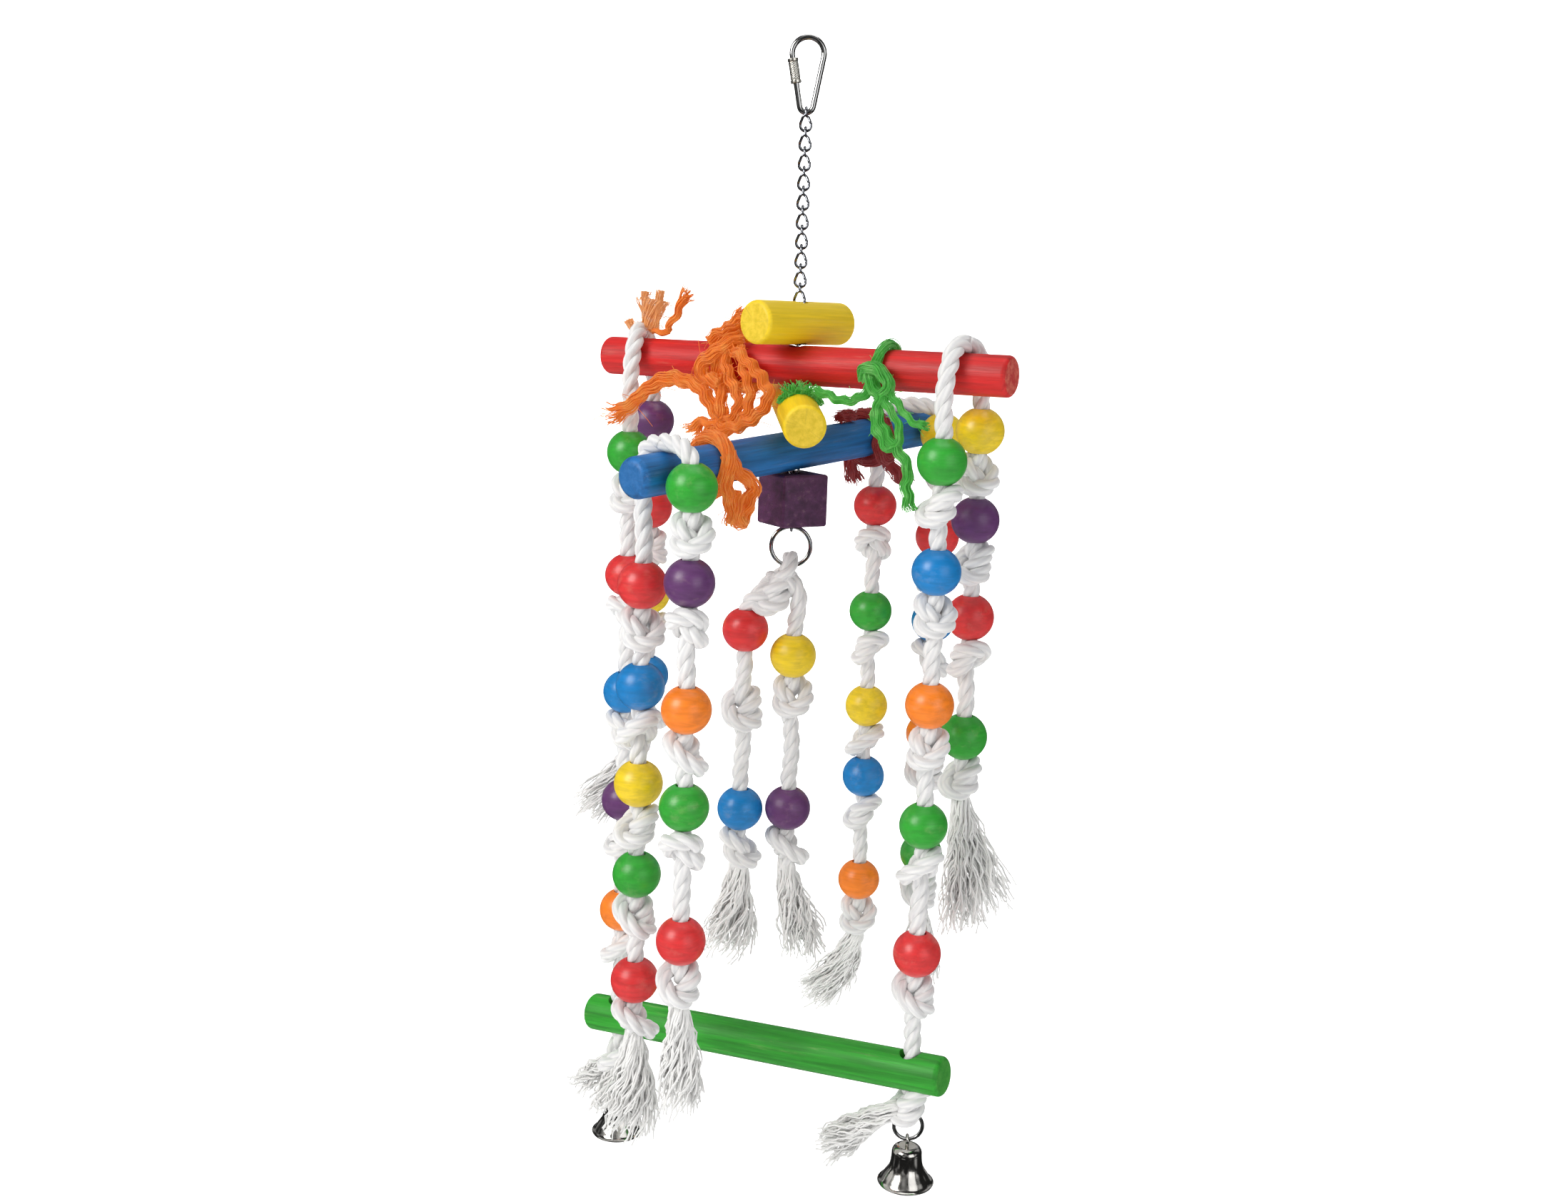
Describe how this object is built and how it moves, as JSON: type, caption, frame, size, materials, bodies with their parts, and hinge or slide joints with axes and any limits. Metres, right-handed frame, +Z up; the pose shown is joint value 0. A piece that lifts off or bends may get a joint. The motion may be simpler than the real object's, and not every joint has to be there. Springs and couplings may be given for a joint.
{
  "type": "hanging bird ladder",
  "caption": "Hanging rope ladder for pet birds: dyed dowels and a block on a twisted chain, knotted cotton ropes with wooden beads, a lower perch and bells.",
  "frame": {"origin": "inside the crown of the quick link, where a hook or a cage bar carries it", "axes": "+Z up, along the hanging chain; +X along the long red dowel, towards the end above the shorter ladder rope; +Y away from the two ladder ropes"},
  "size_m": [0.292, 0.29, 0.7443],
  "materials": {
    "cotton_rope": "soft twisted cotton",
    "dyed_beads": "dyed wood, satin; six dye colours",
    "nickel_plated": "bright nickel plate",
    "yellow_wood": "dyed wood, satin",
    "red_wood": "dyed wood, satin",
    "blue_wood": "dyed wood, satin",
    "purple_wood": "dyed wood, satin",
    "green_wood": "dyed wood, satin",
    "orange_sisal": "loose dyed sisal",
    "green_sisal": "loose dyed sisal",
    "dark_red_cotton": "dyed cotton"
  },
  "bodies": {
    "hanger": {"quick_link": "nickel_plated"},
    "sleeve": {"link_sleeve": "nickel_plated"},
    "chain_1": {"chain_1": "nickel_plated"},
    "chain_2": {"chain_2": "nickel_plated"},
    "chain_3": {"chain_3": "nickel_plated"},
    "chain_4": {"chain_4": "nickel_plated"},
    "chain_5": {"chain_5": "nickel_plated"},
    "core": {"core_chain": "nickel_plated"},
    "top_dowel": {"top_dowel": "yellow_wood"},
    "red": {"red_dowel": "red_wood", "rope_over_red_left": "cotton_rope", "rope_over_red_right": "cotton_rope", "orange_tie": "orange_sisal", "upright_ends": "orange_sisal", "green_tie": "green_sisal"},
    "cross_dowel": {"cross_dowel": "yellow_wood", "green_tuft": "green_sisal"},
    "blue": {"blue_dowel": "blue_wood", "rope_over_blue_near": "cotton_rope", "rope_over_blue_far": "cotton_rope", "orange_tie_blue": "orange_sisal", "dark_red_tie": "dark_red_cotton"},
    "block": {"purple_block": "purple_wood"},
    "block_ring": {"block_ring": "nickel_plated"},
    "centre_knot": {"centre_knot": "cotton_rope"},
    "centre_left": {"centre_left_rope": "cotton_rope", "centre_left_beads": "dyed_beads"},
    "centre_right": {"centre_right_rope": "cotton_rope", "centre_right_beads": "dyed_beads"},
    "rear_left": {"rear_left_rope": "cotton_rope", "rear_left_beads": "dyed_beads"},
    "rear_right": {"rear_right_rope": "cotton_rope", "rear_right_beads": "dyed_beads"},
    "near_left": {"near_left_rope": "cotton_rope", "near_left_beads": "dyed_beads"},
    "near_right": {"near_right_rope": "cotton_rope", "near_right_beads": "dyed_beads"},
    "far_left": {"far_left_rope": "cotton_rope", "far_left_beads": "dyed_beads"},
    "far_right": {"far_right_rope": "cotton_rope", "far_right_beads": "dyed_beads"},
    "ladder_left": {"ladder_left_rope": "cotton_rope", "ladder_left_beads": "dyed_beads"},
    "ladder_right": {"ladder_right_rope": "cotton_rope", "ladder_right_beads": "dyed_beads"},
    "ladder_left_top": {"ladder_left_top_rope": "cotton_rope", "ladder_left_top_bead": "dyed_beads"},
    "ladder_right_top": {"ladder_right_top_rope": "cotton_rope", "ladder_right_top_bead": "dyed_beads"},
    "perch": {"perch": "green_wood", "perch_knot_left": "cotton_rope", "perch_knot_right": "cotton_rope"},
    "bell_ring_left": {"bell_ring_left": "nickel_plated"},
    "bell_left": {"bell_left": "nickel_plated"},
    "clapper_left": {"clapper_left": "nickel_plated"},
    "bell_ring_right": {"bell_ring_right": "nickel_plated"},
    "bell_right": {"bell_right": "nickel_plated"},
    "clapper_right": {"clapper_right": "nickel_plated"}
  },
  "joints": [
    {"name": "sleeve_travel", "type": "slide", "parent": "hanger", "child": "sleeve", "axis": [0.1562, 0.0902, -0.9836], "range_m": [0, 0.009]},
    {"name": "chain_swing_1", "type": "hinge", "parent": "hanger", "child": "chain_1", "pos_m": [0, 0, -0.03995], "axis": [-0.5, 0.866, 0], "range_deg": [-25, 25]},
    {"name": "chain_swing_2", "type": "hinge", "parent": "chain_1", "child": "chain_2", "pos_m": [0, 0, -0.06565], "axis": [0.866, 0.5, 0], "range_deg": [-25, 25]},
    {"name": "chain_swing_3", "type": "hinge", "parent": "chain_2", "child": "chain_3", "pos_m": [0, 0, -0.08715], "axis": [-0.5, 0.866, 0], "range_deg": [-25, 25]},
    {"name": "chain_swing_4", "type": "hinge", "parent": "chain_3", "child": "chain_4", "pos_m": [0, 0, -0.11285], "axis": [0.866, 0.5, 0], "range_deg": [-25, 25]},
    {"name": "chain_swing_5", "type": "hinge", "parent": "chain_4", "child": "chain_5", "pos_m": [0, 0, -0.13435], "axis": [-0.5, 0.866, 0], "range_deg": [-25, 25]},
    {"name": "stack_swing", "type": "hinge", "parent": "chain_5", "child": "core", "pos_m": [0, 0, -0.16005], "axis": [0.866, 0.5, 0], "range_deg": [-5, 5]},
    {"name": "top_dowel_turn", "type": "hinge", "parent": "core", "child": "top_dowel", "pos_m": [0, 0, -0.1704], "axis": [0, 0, 1], "range_deg": [-25, 75]},
    {"name": "red_dowel_turn", "type": "hinge", "parent": "core", "child": "red", "pos_m": [0, 0, -0.1966], "axis": [0, 0, 1], "range_deg": [-8, 8]},
    {"name": "cross_dowel_turn", "type": "hinge", "parent": "core", "child": "cross_dowel", "pos_m": [0, 0, -0.2234], "axis": [0, 0, 1], "range_deg": [-8, 8]},
    {"name": "blue_dowel_turn", "type": "hinge", "parent": "core", "child": "blue", "pos_m": [0, 0, -0.2502], "axis": [0, 0, 1], "range_deg": [-8, 8]},
    {"name": "block_turn", "type": "hinge", "parent": "core", "child": "block", "pos_m": [0, 0, -0.2812], "axis": [0, 0, 1], "range_deg": [-45, 45]},
    {"name": "ring_swing", "type": "hinge", "parent": "core", "child": "block_ring", "pos_m": [0, 0, -0.29925], "axis": [0.866, 0.5, 0], "range_deg": [-15, 15]},
    {"name": "knot_swing", "type": "hinge", "parent": "block_ring", "child": "centre_knot", "pos_m": [0, 0, -0.32455], "axis": [0.866, 0.5, 0], "range_deg": [-15, 15]},
    {"name": "centre_left_swing", "type": "hinge", "parent": "centre_knot", "child": "centre_left", "pos_m": [-0.02382, -0.01375, -0.3524], "axis": [-0.5, 0.866, 0], "range_deg": [0, 15]},
    {"name": "centre_right_swing", "type": "hinge", "parent": "centre_knot", "child": "centre_right", "pos_m": [0.00346, 0.002, -0.3684], "axis": [0.5, -0.866, 0], "range_deg": [0, 15]},
    {"name": "rear_left_swing", "type": "hinge", "parent": "red", "child": "rear_left", "pos_m": [-0.128, 0.026, -0.2046], "axis": [0, 1, 0], "range_deg": [0, 25]},
    {"name": "rear_right_swing", "type": "hinge", "parent": "red", "child": "rear_right", "pos_m": [0.116, 0.026, -0.2046], "axis": [0, -1, 0], "range_deg": [0, 25]},
    {"name": "near_left_swing", "type": "hinge", "parent": "blue", "child": "near_left", "pos_m": [-0.03773, -0.11095, -0.26629], "axis": [-0.9857, 0.1685, 0], "range_deg": [0, 25]},
    {"name": "near_right_swing", "type": "hinge", "parent": "blue", "child": "near_right", "pos_m": [0.00698, -0.1277, -0.24892], "axis": [-0.9857, 0.1685, 0], "range_deg": [0, 25]},
    {"name": "far_left_swing", "type": "hinge", "parent": "blue", "child": "far_left", "pos_m": [0.00093, 0.11521, -0.25025], "axis": [0.9857, -0.1685, 0], "range_deg": [0, 25]},
    {"name": "far_right_swing", "type": "hinge", "parent": "blue", "child": "far_right", "pos_m": [0.04884, 0.11714, -0.22755], "axis": [0.9857, -0.1685, 0], "range_deg": [0, 25]},
    {"name": "ladder_swing_left", "type": "hinge", "parent": "red", "child": "ladder_left_top", "pos_m": [-0.113, -0.021, -0.2106], "axis": [-1, 0, 0], "range_deg": [-2, 6]},
    {"name": "ladder_swing_right", "type": "hinge", "parent": "red", "child": "ladder_right_top", "pos_m": [0.113, -0.021, -0.2106], "axis": [-1, 0, 0], "range_deg": [-3, 7]},
    {"name": "ladder_sway_left", "type": "hinge", "parent": "ladder_left_top", "child": "ladder_left", "pos_m": [-0.113, -0.021, -0.3131], "axis": [0, 1, 0], "range_deg": [-8, 8]},
    {"name": "ladder_sway_right", "type": "hinge", "parent": "ladder_right_top", "child": "ladder_right", "pos_m": [0.113, -0.021, -0.2921], "axis": [0, 1, 0], "range_deg": [-9, 9]},
    {"name": "perch_level", "type": "hinge", "parent": "ladder_left", "child": "perch", "pos_m": [-0.113, -0.021, -0.6541], "axis": [0, 1, 0], "range_deg": [-9, 9]},
    {"name": "bell_ring_left_swing", "type": "hinge", "parent": "perch", "child": "bell_ring_left", "pos_m": [-0.113, -0.021, -0.6934], "axis": [0.866, 0.5, 0], "range_deg": [-10, 10]},
    {"name": "bell_left_swing", "type": "hinge", "parent": "bell_ring_left", "child": "bell_left", "pos_m": [-0.113, -0.021, -0.7115], "axis": [0.866, 0.5, 0], "range_deg": [-12, 12]},
    {"name": "clapper_left_swing", "type": "hinge", "parent": "bell_left", "child": "clapper_left", "pos_m": [-0.113, -0.021, -0.71847], "axis": [0.866, 0.5, 0], "range_deg": [-20, 20]},
    {"name": "bell_ring_right_swing", "type": "hinge", "parent": "perch", "child": "bell_ring_right", "pos_m": [0.113, -0.021, -0.6614], "axis": [0.866, 0.5, 0], "range_deg": [-10, 10]},
    {"name": "bell_right_swing", "type": "hinge", "parent": "bell_ring_right", "child": "bell_right", "pos_m": [0.113, -0.021, -0.6795], "axis": [0.866, 0.5, 0], "range_deg": [-12, 12]},
    {"name": "clapper_right_swing", "type": "hinge", "parent": "bell_right", "child": "clapper_right", "pos_m": [0.113, -0.021, -0.68647], "axis": [0.866, 0.5, 0], "range_deg": [-20, 20]}
  ],
  "couplings": [
    {"joint": "ladder_swing_right", "follows": "ladder_swing_left", "ratio": 1},
    {"joint": "ladder_sway_right", "follows": "ladder_sway_left", "ratio": 1},
    {"joint": "perch_level", "follows": "ladder_sway_left", "ratio": -1}
  ]
}
